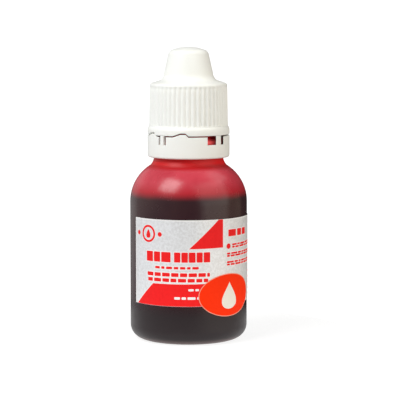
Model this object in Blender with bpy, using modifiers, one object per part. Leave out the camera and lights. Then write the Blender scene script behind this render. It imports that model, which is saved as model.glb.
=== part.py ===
"""Dropper bottle of stamp ink.

A squeeze bottle with a long-tipped screw cap and a tamper band. The origin is the centre of the base,
+Z runs up the bottle's axis, and the front, where the label's panel faces, is -Y.
Angles round the bottle are in degrees from the front, positive towards +X.
"""

import math

import bmesh
import bpy
from mathutils import Matrix, Vector

MM = 0.001
FRONT = -90.0
GAP = 0.3 * MM
SKIN_GAP = 0.06 * MM
MERGE = 0.00001

# Bottle body
BODY_RADIUS = 16.5 * MM
WALL = 0.9 * MM
HEEL_RADIUS = 4.0 * MM
STANDING_RING = 2.0 * MM
PUSH_UP = 1.4 * MM
SHOULDER_RADIUS = 12.0 * MM
SHOULDER_BASE = 38.9 * MM
SHOULDER_TURN = 59.0
BOTTLE_STEPS = 48

# Neck
NECK_ROOT_RADIUS = 9.95 * MM
NECK_ROOT_TOP = 50.7 * MM
GROOVE_RADIUS = 9.4 * MM
BEAD_RADIUS = 10.15 * MM
BEAD_BOTTOM = 54.9 * MM
BEAD_TOP = 57.2 * MM
NECK_RADIUS = 8.6 * MM
NECK_BORE = 7.65 * MM
NECK_TOP = 68.0 * MM

# Screw thread
THREAD_PITCH = 3.0 * MM
THREAD_TURNS = 1.75
THREAD_FOOT = 59.6 * MM
THREAD_POINTS_PER_TURN = 24
THREAD_RUN_OUT = 4
NECK_THREAD_RADIUS = 8.7 * MM
CAP_THREAD_RADIUS = 9.75 * MM
THREAD_SECTION = 0.7 * MM

# Cap
CAP_FOOT = 57.9 * MM
FLANGE_RADIUS = 11.55 * MM
FLANGE_TOP = 60.2 * MM
SKIRT_FOOT_RADIUS = 11.1 * MM
SKIRT_TOP_RADIUS = 10.9 * MM
SKIRT_BORE = 9.9 * MM
SKIRT_TOP = 71.8 * MM
CAP_SHOULDER = 72.4 * MM
CAP_CEILING = 71.0 * MM
TIP_FOOT_RADIUS = 6.9 * MM
TIP_FOOT = 75.0 * MM
TIP_FILLET = 2.3 * MM
TIP_FILLET_END = 262.0
TIP_RIM_RADIUS = 5.6 * MM
TIP_RIM = 80.7 * MM
DOME_RADIUS = 12.8 * MM
DOME_TURN = 24.0
CAP_TOP = 82.35 * MM
CAP_WALL = 1.15 * MM
TIP_BORE_TAPER = 1.2 * MM
RIB_COUNT = 48
RIB_DEPTH = 0.35 * MM
SEAL_RING_RADIUS = 7.9 * MM
SEAL_RING_FOOT = 69.65 * MM

# Tamper band
PARTING_GAP = 0.37 * MM
BAND_FOOT = 51.5 * MM
BAND_BORE = 10.5 * MM
SNAP_LIP_BORE = 9.75 * MM
TOOTH_HEIGHT = 0.77 * MM
TOOTH_STARTS = (-22.5, -75.0, 157.5, 105.0)
TOOTH_RAMP = 11.25
TOOTH_FLAT = 7.5
TOOTH_STEP = 3.75
WINDOW_DEPTH = 2.2 * MM
WINDOWS = ((27.4, 41.5), (51.5, 57.0))
SLOTS = ((-45.7, -42.5), (-37.0, -32.7))

# Dropper nozzle and sealing pin
NOZZLE_FOOT = 61.0 * MM
NOZZLE_FLANGE_RADIUS = 8.5 * MM
NOZZLE_FLANGE = 1.0 * MM
NOZZLE_TIP = 77.6 * MM
NOZZLE_STEPS = 32
SPOUT_TIP_RADIUS = 1.95 * MM
SPOUT_WAIST = (2.3 * MM, 74.5 * MM)
SPOUT_SHOULDER = (3.9 * MM, 71.2 * MM)
SPOUT_FOOT = (4.6 * MM, 69.9 * MM)
PLUG_BORE = 6.3 * MM
PLUG_CEILING = 66.6 * MM
SPOUT_BORE_FOOT = (3.3 * MM, 69.4 * MM)
SPOUT_BORE_SHOULDER = (2.6 * MM, 71.4 * MM)
SPOUT_BORE_WAIST = (1.4 * MM, 74.4 * MM)
DRIP_HOLE = 0.95 * MM
DRIP_HOLE_LENGTH = 2.2 * MM
PIN_RADIUS = 0.55 * MM
PIN_FOOT = 75.9 * MM
PIN_STEM_RADIUS = 1.5 * MM

# Ink, label and sticker
INK_LEVEL = 41.15 * MM
LABEL_FOOT = 11.25 * MM
LABEL_TOP = 35.25 * MM
LABEL_START = -61.5
LABEL_WRAP = 300.0
FILM = 0.1 * MM
STICKER_TURN = 42.0
STICKER_HALF_WIDTH = 9.0 * MM
STICKER_HALF_HEIGHT = 6.0 * MM
STICKER_CENTRE = 14.0 * MM


def clear_scene():
    for obj in list(bpy.data.objects):
        bpy.data.objects.remove(obj, do_unlink=True)


def new_collection(name):
    collection = bpy.data.collections.new(name)
    bpy.context.scene.collection.children.link(collection)
    return collection


def new_material(name, colour, roughness, metallic=0.0):
    material = bpy.data.materials.new(name)
    material.use_nodes = True
    shader = material.node_tree.nodes["Principled BSDF"]
    shader.inputs["Base Color"].default_value = (*colour, 1.0)
    shader.inputs["Roughness"].default_value = roughness
    shader.inputs["Metallic"].default_value = metallic
    material.diffuse_color = (*colour, 1.0)
    return material


def arc(centre, radius, start, end, count):
    """Points of an arc in the (radius, height) plane, from start to end degrees, both ends included."""
    points = []
    for step in range(count + 1):
        angle = math.radians(start + (end - start) * step / count)
        points.append((centre[0] + radius * math.cos(angle), centre[1] + radius * math.sin(angle)))
    return points


def new_object(name, mesh, collection, material=None):
    obj = bpy.data.objects.new(name, mesh)
    collection.objects.link(obj)
    if material:
        mesh.materials.append(material)
    return obj


def turned(name, profile, steps, collection, material=None, closed=False, turn=360.0):
    """A Screw round Z of a (radius, height) profile that starts at +X."""
    mesh = bpy.data.meshes.new(name)
    edges = [(i, i + 1) for i in range(len(profile) - 1)]
    if closed:
        edges.append((len(profile) - 1, 0))
    mesh.from_pydata([(radius, 0.0, height) for radius, height in profile], edges, [])
    obj = new_object(name, mesh, collection, material)
    screw = obj.modifiers.new("turn", "SCREW")
    screw.axis = "Z"
    screw.angle = math.radians(turn)
    screw.steps = steps
    screw.render_steps = steps
    screw.use_merge_vertices = True
    screw.merge_threshold = MERGE
    return obj


def freeze(obj):
    """Replaces the object's mesh and modifiers by the mesh they make."""
    bpy.context.view_layer.update()
    graph = bpy.context.evaluated_depsgraph_get()
    mesh = bpy.data.meshes.new_from_object(obj.evaluated_get(graph))
    obj.modifiers.clear()
    obj.data = mesh


def reshape(obj, move):
    """Calls move(point, turn) on each vertex, turn being its angle from the front in -180 to 180 degrees."""
    mesh = bmesh.new()
    mesh.from_mesh(obj.data)
    for vertex in mesh.verts:
        turn = math.degrees(math.atan2(vertex.co.y, vertex.co.x)) - FRONT
        turn = (turn + 180.0) % 360.0 - 180.0
        vertex.co = move(vertex.co, turn)
    mesh.to_mesh(obj.data)
    mesh.free()


def boolean(obj, other, operation):
    modifier = obj.modifiers.new(operation.lower(), "BOOLEAN")
    modifier.operation = operation
    modifier.solver = "EXACT"
    modifier.object = other


def hide_helper(obj):
    obj.hide_render = True
    obj.display_type = "WIRE"


def shade_smooth(obj, sharp=35.0):
    obj.data.shade_smooth()
    obj.data.set_sharp_from_angle(angle=math.radians(sharp))


def helical_thread(name, radius, foot, collection):
    """A round-sectioned ridge along a right-hand helix, thinning out at both ends."""
    curve = bpy.data.curves.new(name, "CURVE")
    curve.dimensions = "3D"
    curve.bevel_depth = THREAD_SECTION
    curve.bevel_resolution = 2
    curve.use_fill_caps = True
    count = round(THREAD_TURNS * THREAD_POINTS_PER_TURN)
    spline = curve.splines.new("POLY")
    spline.points.add(count)
    for index, point in enumerate(spline.points):
        turn = index / THREAD_POINTS_PER_TURN
        angle = math.tau * turn
        height = foot + THREAD_PITCH * turn
        point.co = (radius * math.cos(angle), radius * math.sin(angle), height, 1.0)
        point.radius = min(1.0, 0.5 + 0.5 * min(index, count - index) / THREAD_RUN_OUT)
    tube = bpy.data.objects.new(name + "_curve", curve)
    collection.objects.link(tube)
    bpy.context.view_layer.update()
    graph = bpy.context.evaluated_depsgraph_get()
    mesh = bpy.data.meshes.new_from_object(tube.evaluated_get(graph))
    solid = new_object(name, mesh, collection)
    solid.matrix_world = tube.matrix_world
    bpy.data.objects.remove(tube, do_unlink=True)
    ridge = bmesh.new()
    ridge.from_mesh(mesh)
    bmesh.ops.remove_doubles(ridge, verts=ridge.verts, dist=MERGE)
    bmesh.ops.recalc_face_normals(ridge, faces=ridge.faces)
    ridge.to_mesh(mesh)
    ridge.free()
    hide_helper(solid)
    return solid


def floor(inset):
    """The pushed-up base, inset from its outside, as points from its centre out to the standing ring."""
    ring = BODY_RADIUS - HEEL_RADIUS - STANDING_RING
    return [(ring * part, PUSH_UP * (1 - part * part) + inset) for part in (0.0, 0.4, 0.7, 1.0)]


def bottle_inside():
    """The inner wall's profile from the base's centre up to the shoulder's top."""
    heel_centre = (BODY_RADIUS - HEEL_RADIUS, HEEL_RADIUS)
    shoulder_centre = (BODY_RADIUS - SHOULDER_RADIUS, SHOULDER_BASE)
    inner_shoulder = SHOULDER_RADIUS - WALL
    neck_turn = math.degrees(math.acos((NECK_BORE - shoulder_centre[0]) / inner_shoulder))
    profile = floor(WALL)
    profile += arc(heel_centre, HEEL_RADIUS - WALL, -90.0, 0.0, 5)
    profile += arc(shoulder_centre, inner_shoulder, 0.0, neck_turn, 8)
    return profile


def bottle_outside():
    """The outer wall's profile from the neck's lip down to the base's centre."""
    heel_centre = (BODY_RADIUS - HEEL_RADIUS, HEEL_RADIUS)
    shoulder_centre = (BODY_RADIUS - SHOULDER_RADIUS, SHOULDER_BASE)
    lip_round = 0.25 * MM
    bead_round = 0.5 * MM
    profile = [(NECK_RADIUS - lip_round, NECK_TOP), (NECK_RADIUS, NECK_TOP - lip_round)]
    profile += [(NECK_RADIUS, BEAD_TOP), (BEAD_RADIUS, BEAD_TOP - 2 * bead_round)]
    profile += [(BEAD_RADIUS, BEAD_BOTTOM + bead_round), (GROOVE_RADIUS, BEAD_BOTTOM)]
    profile += [(GROOVE_RADIUS, NECK_ROOT_TOP + bead_round), (NECK_ROOT_RADIUS, NECK_ROOT_TOP)]
    profile += [(NECK_ROOT_RADIUS, NECK_ROOT_TOP - 2 * bead_round)]
    profile += arc(shoulder_centre, SHOULDER_RADIUS, SHOULDER_TURN, 0.0, 9)
    profile += arc(heel_centre, HEEL_RADIUS, 0.0, -90.0, 6)
    profile += reversed(floor(0.0))
    return profile


def make_bottle(parts, helpers):
    material = new_material("bottle", (0.80, 0.12, 0.16), 0.35)
    profile = bottle_inside() + [(NECK_BORE, NECK_TOP)] + bottle_outside()
    bottle = turned("bottle", profile, BOTTLE_STEPS, parts, material)
    ridge = helical_thread("neck_thread", NECK_THREAD_RADIUS, THREAD_FOOT, helpers)
    boolean(bottle, ridge, "UNION")
    freeze(bottle)
    shade_smooth(bottle)


def make_ink(parts):
    """The fill follows the inner wall at a small gap, up to its level in the shoulder."""
    material = new_material("ink", (0.05, 0.01, 0.02), 0.2)
    heel_centre = (BODY_RADIUS - HEEL_RADIUS, HEEL_RADIUS)
    shoulder_centre = (BODY_RADIUS - SHOULDER_RADIUS, SHOULDER_BASE)
    inset = WALL + GAP
    ink_shoulder = SHOULDER_RADIUS - inset
    level_turn = math.degrees(math.asin((INK_LEVEL - SHOULDER_BASE) / ink_shoulder))
    profile = [(0.0, INK_LEVEL)]
    profile += arc(shoulder_centre, ink_shoulder, level_turn, 0.0, 2)
    profile += arc(heel_centre, HEEL_RADIUS - inset, 0.0, -90.0, 5)
    profile += reversed(floor(inset))
    ink = turned("ink", profile, BOTTLE_STEPS, parts, material)
    freeze(ink)
    shade_smooth(ink)


def make_nozzle(parts):
    """A plug pressed into the neck, a flange that rests on the lip, and a spout with a drip hole."""
    material = new_material("dropper_nozzle", (0.86, 0.86, 0.84), 0.4)
    plug_radius = NECK_BORE - GAP
    flange_foot = NECK_TOP + GAP
    flange_top = flange_foot + NOZZLE_FLANGE
    lead_in = 0.45 * MM
    lip_round = 0.7 * MM
    lip_centre = (SPOUT_TIP_RADIUS - lip_round, NOZZLE_TIP - lip_round)
    profile = arc(lip_centre, lip_round, 90.0, 0.0, 2)
    profile += [SPOUT_WAIST, SPOUT_SHOULDER, SPOUT_FOOT]
    profile += [(SPOUT_FOOT[0] + NOZZLE_FLANGE / 2, flange_top)]
    profile += [(NOZZLE_FLANGE_RADIUS, flange_top), (NOZZLE_FLANGE_RADIUS, flange_foot)]
    profile += [(plug_radius, flange_foot), (plug_radius, NOZZLE_FOOT + 2 * lead_in)]
    profile += [(plug_radius - lead_in, NOZZLE_FOOT), (PLUG_BORE, NOZZLE_FOOT)]
    profile += [(PLUG_BORE, PLUG_CEILING), SPOUT_BORE_FOOT, SPOUT_BORE_SHOULDER, SPOUT_BORE_WAIST]
    profile += [(DRIP_HOLE, NOZZLE_TIP - DRIP_HOLE_LENGTH), (DRIP_HOLE, NOZZLE_TIP)]
    nozzle = turned("dropper_nozzle", profile, NOZZLE_STEPS, parts, material, closed=True)
    freeze(nozzle)
    shade_smooth(nozzle)


def make_seal_pin(parts):
    """The pin hangs under the cap's tip and its end stands in the nozzle's drip hole."""
    material = new_material("cap_seal_pin", (0.93, 0.93, 0.91), 0.4)
    stem_top = CAP_TOP - CAP_WALL - GAP
    stem_foot = NOZZLE_TIP + GAP
    tip_round = 0.3 * MM
    profile = [(0.0, stem_top), (PIN_STEM_RADIUS, stem_top), (PIN_STEM_RADIUS, stem_foot)]
    profile += [(PIN_RADIUS, stem_foot), (PIN_RADIUS, PIN_FOOT + tip_round)]
    profile += [(PIN_RADIUS - tip_round, PIN_FOOT), (0.0, PIN_FOOT)]
    pin = turned("cap_seal_pin", profile, 16, parts, material)
    freeze(pin)
    shade_smooth(pin)


def tooth_rise(turn):
    """Height of the ratchet line above its low level: a long ramp, a flat top and a steep step down."""
    for start in TOOTH_STARTS:
        along = (turn - start) % 360.0
        if along < TOOTH_RAMP:
            return TOOTH_HEIGHT * along / TOOTH_RAMP
        if along <= TOOTH_RAMP + TOOTH_FLAT:
            return TOOTH_HEIGHT
        if along < TOOTH_RAMP + TOOTH_FLAT + TOOTH_STEP:
            return TOOTH_HEIGHT * (TOOTH_RAMP + TOOTH_FLAT + TOOTH_STEP - along) / TOOTH_STEP
    return 0.0


def cap_outside():
    """From the top of the dome down the tip, shoulder and skirt to the flange's foot."""
    edge = 0.3 * MM
    dome = arc((0.0, CAP_TOP - DOME_RADIUS), DOME_RADIUS, 90.0, 90.0 - DOME_TURN, 3)
    dome[0] = (0.0, CAP_TOP)
    fillet_centre = (TIP_FOOT_RADIUS + TIP_FILLET, TIP_FOOT)
    tip = [(TIP_RIM_RADIUS, TIP_RIM)] + arc(fillet_centre, TIP_FILLET, 180.0, TIP_FILLET_END, 4)
    shoulder = [(SKIRT_TOP_RADIUS - 2 * edge, CAP_SHOULDER - edge), (SKIRT_TOP_RADIUS, SKIRT_TOP)]
    ribs = [(SKIRT_TOP_RADIUS, SKIRT_TOP - edge), (SKIRT_FOOT_RADIUS, FLANGE_TOP + edge)]
    flange = [(SKIRT_FOOT_RADIUS, FLANGE_TOP), (FLANGE_RADIUS, FLANGE_TOP - edge), (FLANGE_RADIUS, CAP_FOOT)]
    return dome + tip + shoulder + ribs + flange


def cap_inside():
    """From the flange's foot up the bore, over the sealing ring and up into the tip."""
    ring_half = 0.45 * MM
    slope = (TIP_FOOT_RADIUS - TIP_RIM_RADIUS) / (TIP_RIM - TIP_FOOT)
    ceiling = CAP_TOP - CAP_WALL
    skirt = [(SKIRT_BORE, CAP_FOOT), (SKIRT_BORE, CAP_CEILING)]
    ring = [(SEAL_RING_RADIUS + ring_half, CAP_CEILING), (SEAL_RING_RADIUS, SEAL_RING_FOOT)]
    ring += [(SEAL_RING_RADIUS - ring_half, CAP_CEILING)]
    tip_foot_radius = TIP_FOOT_RADIUS - CAP_WALL
    tip = [(tip_foot_radius, CAP_CEILING + TIP_BORE_TAPER)]
    tip += [(tip_foot_radius - slope * (ceiling - TIP_FOOT), ceiling), (0.0, ceiling)]
    return skirt + ring + tip


def make_cap(parts, helpers):
    material = new_material("cap", (0.93, 0.93, 0.91), 0.4)
    cap = turned("cap", cap_outside() + cap_inside(), 2 * RIB_COUNT, parts, material)
    freeze(cap)
    rib_step = 180.0 / RIB_COUNT
    tiny = 0.05 * MM

    def shape(point, turn):
        radius = math.hypot(point.x, point.y)
        in_rib = FLANGE_TOP + tiny < point.z < SKIRT_TOP - tiny and radius > SKIRT_BORE + tiny
        if in_rib and round(turn / rib_step) % 2:
            scale = (radius - RIB_DEPTH) / radius
            return Vector((point.x * scale, point.y * scale, point.z))
        if abs(point.z - CAP_FOOT) < tiny:
            return Vector((point.x, point.y, CAP_FOOT + tooth_rise(turn)))
        return point

    reshape(cap, shape)
    ridge = helical_thread("cap_thread", CAP_THREAD_RADIUS, THREAD_FOOT + THREAD_PITCH / 2, helpers)
    boolean(cap, ridge, "UNION")
    freeze(cap)
    shade_smooth(cap)


def add_cutter(boxes, turn, across, width):
    """A box through the band's wall, straight out at an angle from the front, set across by a distance."""
    window_foot = CAP_FOOT - PARTING_GAP - WINDOW_DEPTH
    height = WINDOW_DEPTH + 2 * TOOTH_HEIGHT
    near = 3 * MM
    far = FLANGE_RADIUS + MM
    place = Matrix.Rotation(math.radians(turn), 4, "Z")
    place @= Matrix.Translation((across, -(near + far) / 2, window_foot + height / 2))
    place @= Matrix.Diagonal((width, far - near, height, 1.0))
    bmesh.ops.create_cube(boxes, size=1.0, matrix=place)


def window_cutters(helpers):
    """Cuts for the windows, straight back as the mould draws them, and for the thin posts' radial slots."""
    mesh = bpy.data.meshes.new("band_windows")
    boxes = bmesh.new()
    for half_turn in (0.0, 180.0):
        for start, end in WINDOWS:
            left = FLANGE_RADIUS * math.sin(math.radians(start))
            right = FLANGE_RADIUS * math.sin(math.radians(end))
            add_cutter(boxes, half_turn, (left + right) / 2, right - left)
        for start, end in SLOTS:
            width = 2 * FLANGE_RADIUS * math.sin(math.radians(end - start) / 2)
            add_cutter(boxes, half_turn + (start + end) / 2, 0.0, width)
    boxes.to_mesh(mesh)
    boxes.free()
    cutter = new_object("band_windows", mesh, helpers)
    hide_helper(cutter)
    return cutter


def make_band(parts, helpers):
    """A ring that snaps under the neck's bead, with teeth on its top edge that mesh with the cap's foot."""
    material = new_material("tamper_band", (0.93, 0.93, 0.91), 0.4)
    top = CAP_FOOT - PARTING_GAP
    edge = 0.2 * MM
    lip_top = BEAD_BOTTOM - GAP
    profile = [(FLANGE_RADIUS, top), (FLANGE_RADIUS, BAND_FOOT + edge), (FLANGE_RADIUS - edge, BAND_FOOT)]
    profile += [(BAND_BORE, BAND_FOOT), (SNAP_LIP_BORE, lip_top - 4 * edge), (SNAP_LIP_BORE, lip_top - edge)]
    profile += [(BAND_BORE, lip_top + edge), (BAND_BORE, top)]
    band = turned("tamper_band", profile, 2 * RIB_COUNT, parts, material, closed=True)
    freeze(band)
    tiny = 0.05 * MM

    def shape(point, turn):
        if abs(point.z - top) < tiny:
            return Vector((point.x, point.y, top + tooth_rise(turn)))
        return point

    reshape(band, shape)
    boolean(band, window_cutters(helpers), "DIFFERENCE")
    freeze(band)
    shade_smooth(band)


def film_sheet(name, radius, foot, top, start, wrap, steps, parts, material):
    """A thin curved sheet of film, standing on the radius and growing outwards."""
    sheet = turned(name, [(radius, top), (radius, foot)], steps, parts, material, turn=wrap)
    sheet.rotation_euler = (0.0, 0.0, math.radians(FRONT + start))
    skin = sheet.modifiers.new("film", "SOLIDIFY")
    skin.thickness = FILM
    skin.offset = 1.0
    return sheet


def make_label(parts):
    material = new_material("label", (0.70, 0.71, 0.73), 0.35, 0.6)
    radius = BODY_RADIUS + SKIN_GAP
    label = film_sheet("label", radius, LABEL_FOOT, LABEL_TOP, LABEL_START, LABEL_WRAP, 40, parts, material)
    freeze(label)
    shade_smooth(label)


def make_sticker(parts, helpers):
    """An oval cut from a sheet of film that lies on the label and laps over its lower edge."""
    material = new_material("colour_sticker", (1.0, 0.10, 0.01), 0.4)
    radius = BODY_RADIUS + 2 * SKIN_GAP + FILM
    half_wrap = 37.5
    half_sheet = 1.2 * STICKER_HALF_HEIGHT
    foot = STICKER_CENTRE - half_sheet
    top = STICKER_CENTRE + half_sheet
    start = STICKER_TURN - half_wrap
    sticker = film_sheet("colour_sticker", radius, foot, top, start, 2 * half_wrap, 12, parts, material)
    oval = bmesh.new()
    bmesh.ops.create_cone(
        oval, cap_ends=True, segments=32, radius1=1.0, radius2=1.0, depth=BODY_RADIUS
    )
    mesh = bpy.data.meshes.new("sticker_oval")
    oval.to_mesh(mesh)
    oval.free()
    cutter = new_object("sticker_oval", mesh, helpers)
    place = Matrix.Rotation(math.radians(STICKER_TURN), 4, "Z")
    place @= Matrix.Translation((0.0, -BODY_RADIUS, STICKER_CENTRE))
    place @= Matrix.Rotation(math.radians(90.0), 4, "X")
    place @= Matrix.Diagonal((STICKER_HALF_WIDTH, STICKER_HALF_HEIGHT, 1.0, 1.0))
    cutter.matrix_world = place
    hide_helper(cutter)
    boolean(sticker, cutter, "INTERSECT")
    freeze(sticker)
    shade_smooth(sticker)


def main():
    clear_scene()
    parts = new_collection("ink_bottle")
    helpers = new_collection("cutters")
    make_bottle(parts, helpers)
    make_ink(parts)
    make_nozzle(parts)
    make_cap(parts, helpers)
    make_seal_pin(parts)
    make_band(parts, helpers)
    make_label(parts)
    make_sticker(parts, helpers)


main()
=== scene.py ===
"""Looks of the dropper bottle of stamp ink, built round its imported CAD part.

Everything is in metres in the part's own frame: the bottle stands at the origin, +Z is up its axis and the
front is -Y. Angles round the bottle are degrees from the front, positive towards +X.
"""

import math

import bmesh
import bpy
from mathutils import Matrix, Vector


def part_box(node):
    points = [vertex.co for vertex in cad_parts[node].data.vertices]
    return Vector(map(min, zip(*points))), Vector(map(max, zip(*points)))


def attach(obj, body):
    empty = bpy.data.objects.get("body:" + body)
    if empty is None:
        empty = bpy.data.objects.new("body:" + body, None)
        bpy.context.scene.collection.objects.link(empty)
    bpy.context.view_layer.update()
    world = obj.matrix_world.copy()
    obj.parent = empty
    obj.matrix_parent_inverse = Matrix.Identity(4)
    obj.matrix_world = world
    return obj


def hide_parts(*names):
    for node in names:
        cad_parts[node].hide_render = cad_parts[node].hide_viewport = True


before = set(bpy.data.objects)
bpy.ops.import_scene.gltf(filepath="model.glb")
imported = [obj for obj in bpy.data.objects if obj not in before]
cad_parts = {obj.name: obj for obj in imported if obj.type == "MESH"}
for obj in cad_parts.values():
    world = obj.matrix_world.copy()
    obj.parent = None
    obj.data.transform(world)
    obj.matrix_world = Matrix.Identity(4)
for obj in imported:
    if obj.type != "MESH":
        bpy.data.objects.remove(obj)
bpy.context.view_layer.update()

MM = 0.001
BOTTLE_LOW, BOTTLE_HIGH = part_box("bottle")
CAP_LOW, CAP_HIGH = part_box("cap")
BAND_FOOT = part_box("tamper_band")[0].z
NOZZLE_LOW, NOZZLE_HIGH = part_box("dropper_nozzle")
PIN_LOW, PIN_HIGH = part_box("cap_seal_pin")
LABEL_LOW, LABEL_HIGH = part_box("label")
STICKER_LOW, STICKER_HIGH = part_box("colour_sticker")
INK_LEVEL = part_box("ink")[1].z

# Bottle body and neck
BODY_RADIUS = BOTTLE_HIGH.x
NECK_TOP = BOTTLE_HIGH.z
WALL = 0.9 * MM
HEEL_RADIUS = 4.0 * MM
STANDING_RING = 2.0 * MM
PUSH_UP = 1.4 * MM
SHOULDER_RADIUS = 12.0 * MM
SHOULDER_BASE = 38.9 * MM
SHOULDER_TURN = 59.0
HEEL_CENTRE = (BODY_RADIUS - HEEL_RADIUS, HEEL_RADIUS)
SHOULDER_CENTRE = (BODY_RADIUS - SHOULDER_RADIUS, SHOULDER_BASE)
NECK_ROOT_RADIUS = 9.95 * MM
NECK_ROOT_TOP = 50.7 * MM
GROOVE_RADIUS = 9.4 * MM
BEAD_RADIUS = 10.15 * MM
BEAD_BOTTOM = 54.9 * MM
BEAD_TOP = 57.2 * MM
NECK_RADIUS = 8.6 * MM
NECK_BORE = 7.65 * MM
BODY_STEPS = 160

# Screw thread
THREAD_PITCH = 3.0 * MM
THREAD_TURNS = 1.75
THREAD_FOOT = 59.6 * MM
NECK_THREAD_RADIUS = 8.7 * MM
CAP_THREAD_RADIUS = 9.75 * MM
THREAD_SECTION = 0.7 * MM

# Cap
FLANGE_RADIUS = CAP_HIGH.x
CAP_FOOT = CAP_LOW.z
CAP_TOP = CAP_HIGH.z
FLANGE_TOP = 60.2 * MM
SKIRT_FOOT_RADIUS = 11.1 * MM
SKIRT_TOP_RADIUS = 10.9 * MM
SKIRT_BORE = 9.9 * MM
SKIRT_TOP = 71.8 * MM
CAP_SHOULDER = 72.4 * MM
CAP_CEILING = 71.0 * MM
TIP_FOOT_RADIUS = 6.9 * MM
TIP_FOOT = 75.0 * MM
TIP_FILLET = 2.3 * MM
TIP_FILLET_END = 262.0
TIP_RIM_RADIUS = 5.6 * MM
TIP_RIM = 80.7 * MM
DOME_RADIUS = 12.8 * MM
DOME_TURN = 23.0
CAP_WALL = 1.15 * MM
RIB_COUNT = 48
RIB_DEPTH = 0.35 * MM
RIB_FADE = 1.0 * MM
CAP_STEPS = 6 * RIB_COUNT
SEAL_RING_RADIUS = 7.9 * MM
SEAL_RING_FOOT = 69.65 * MM

# Tamper band
PARTING_GAP = 0.37 * MM
BRIDGE_GAP = 0.04 * MM
BAND_BORE = 10.5 * MM
SNAP_LIP_BORE = 9.75 * MM
TOOTH_HEIGHT = 0.77 * MM
TOOTH_STARTS = (-22.5, -75.0, 157.5, 105.0)
TOOTH_RAMP = 11.25
TOOTH_FLAT = 7.5
TOOTH_STEP = 3.75
WINDOW_DEPTH = 2.2 * MM
WINDOWS = ((27.4, 41.5), (51.5, 57.0))
LAST_CUT = WINDOWS[-1][1]
SLOTS = ((-45.7, -42.5), (-37.0, -32.7))
BRIDGES = ((41.5, 51.5), (-42.5, -37.0))

# Dropper nozzle
NOZZLE_FOOT = NOZZLE_LOW.z
NOZZLE_TIP = NOZZLE_HIGH.z
NOZZLE_FLANGE_RADIUS = NOZZLE_HIGH.x

# Films
LABEL_FOOT = LABEL_LOW.z
LABEL_TOP = LABEL_HIGH.z
LABEL_START = -61.5
LABEL_END = 238.5
FILM = 0.1 * MM
LABEL_RADIUS = BODY_RADIUS + 0.16 * MM
INK_FILM = 0.012 * MM
STICKER_TURN = 42.0
STICKER_HALF_WIDTH = 9.5 * MM
STICKER_HALF_HEIGHT = (STICKER_HIGH.z - STICKER_LOW.z) / 2
STICKER_CENTRE = (STICKER_HIGH.z + STICKER_LOW.z) / 2
STICKER_RADIUS = LABEL_RADIUS + 0.16 * MM
DRAPE_DEPTH = 0.09 * MM
DRAPE_ABOVE = 0.2 * MM
DRAPE_BELOW = 0.8 * MM
FILM_STEP = 2.25
TOUCH = 1e-7
X_AXIS = Vector((1.0, 0.0, 0.0))
Z_AXIS = Vector((0.0, 0.0, 1.0))

# Looks
WALL_GLOSS = 0.42
FLOOR_RADIUS = 0.05
FLOOR_GLOW = 0.84
MAIN_POWER = 2.82
OVER_RIGHT_POWER = 0.38
BACK_LEFT_POWER = 0.16
FILL_POWER = 2.35
SIDE_POWER = 0.5
SIDE_TINT = (1.0, 0.80, 0.58)
FILL_TINT = (1.0, 0.965, 0.89)
PLAIN_WHITE = (1.0, 1.0, 1.0)
BACKDROP_STRENGTH = 1.2
CAMERA_PLACE = (0.00322, -0.5151, 0.0938)
CAMERA_DIP = 6.06
CAMERA_LENS = 164.84
# The studio's brightness along each axis, ahead and behind: right and left, back and front, above and below
STUDIO_SIDES = {"X": (0.12, 0.68), "Y": (0.02, 0.33), "Z": (0.1, 0.4)}


def smoothstep(low, high, value):
    part = min(max((value - low) / (high - low), 0.0), 1.0)
    return part * part * (3 - 2 * part)


def around(turn, radius, height):
    """The point at an angle from the front, in degrees, and a radius."""
    angle = math.radians(turn)
    return Vector((radius * math.sin(angle), -radius * math.cos(angle), height))


def arc(centre, radius, start, end, count):
    """Points of an arc in the (radius, height) plane, from start to end degrees, both ends included."""
    points = []
    for step in range(count + 1):
        angle = math.radians(start + (end - start) * step / count)
        points.append((centre[0] + radius * math.cos(angle), centre[1] + radius * math.sin(angle)))
    return points


def rounded(corners, steps=4):
    """A profile whose corners (radius, height, round) are eased over that length, if it is there."""
    points = []
    for index, corner in enumerate(corners):
        here = Vector(corner[:2])
        ease = corner[2] if len(corner) > 2 else 0.0
        if not ease or index in (0, len(corners) - 1):
            points.append(tuple(here))
            continue
        before = Vector(corners[index - 1][:2]) - here
        after = Vector(corners[index + 1][:2]) - here
        start = here + before * min(ease / before.length, 0.48)
        end = here + after * min(ease / after.length, 0.48)
        for step in range(steps + 1):
            part = step / steps
            points.append(tuple(start.lerp(here, part).lerp(here.lerp(end, part), part)))
    return points


def new_piece(name, mesh, material, sharp=40.0):
    """An object from a bmesh, smooth apart from its sharp edges."""
    data = bpy.data.meshes.new(name)
    bmesh.ops.recalc_face_normals(mesh, faces=mesh.faces)
    mesh.to_mesh(data)
    mesh.free()
    data.materials.append(material)
    data.shade_smooth()
    data.set_sharp_from_angle(angle=math.radians(sharp))
    piece = bpy.data.objects.new(name, data)
    bpy.context.scene.collection.objects.link(piece)
    return piece


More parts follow.
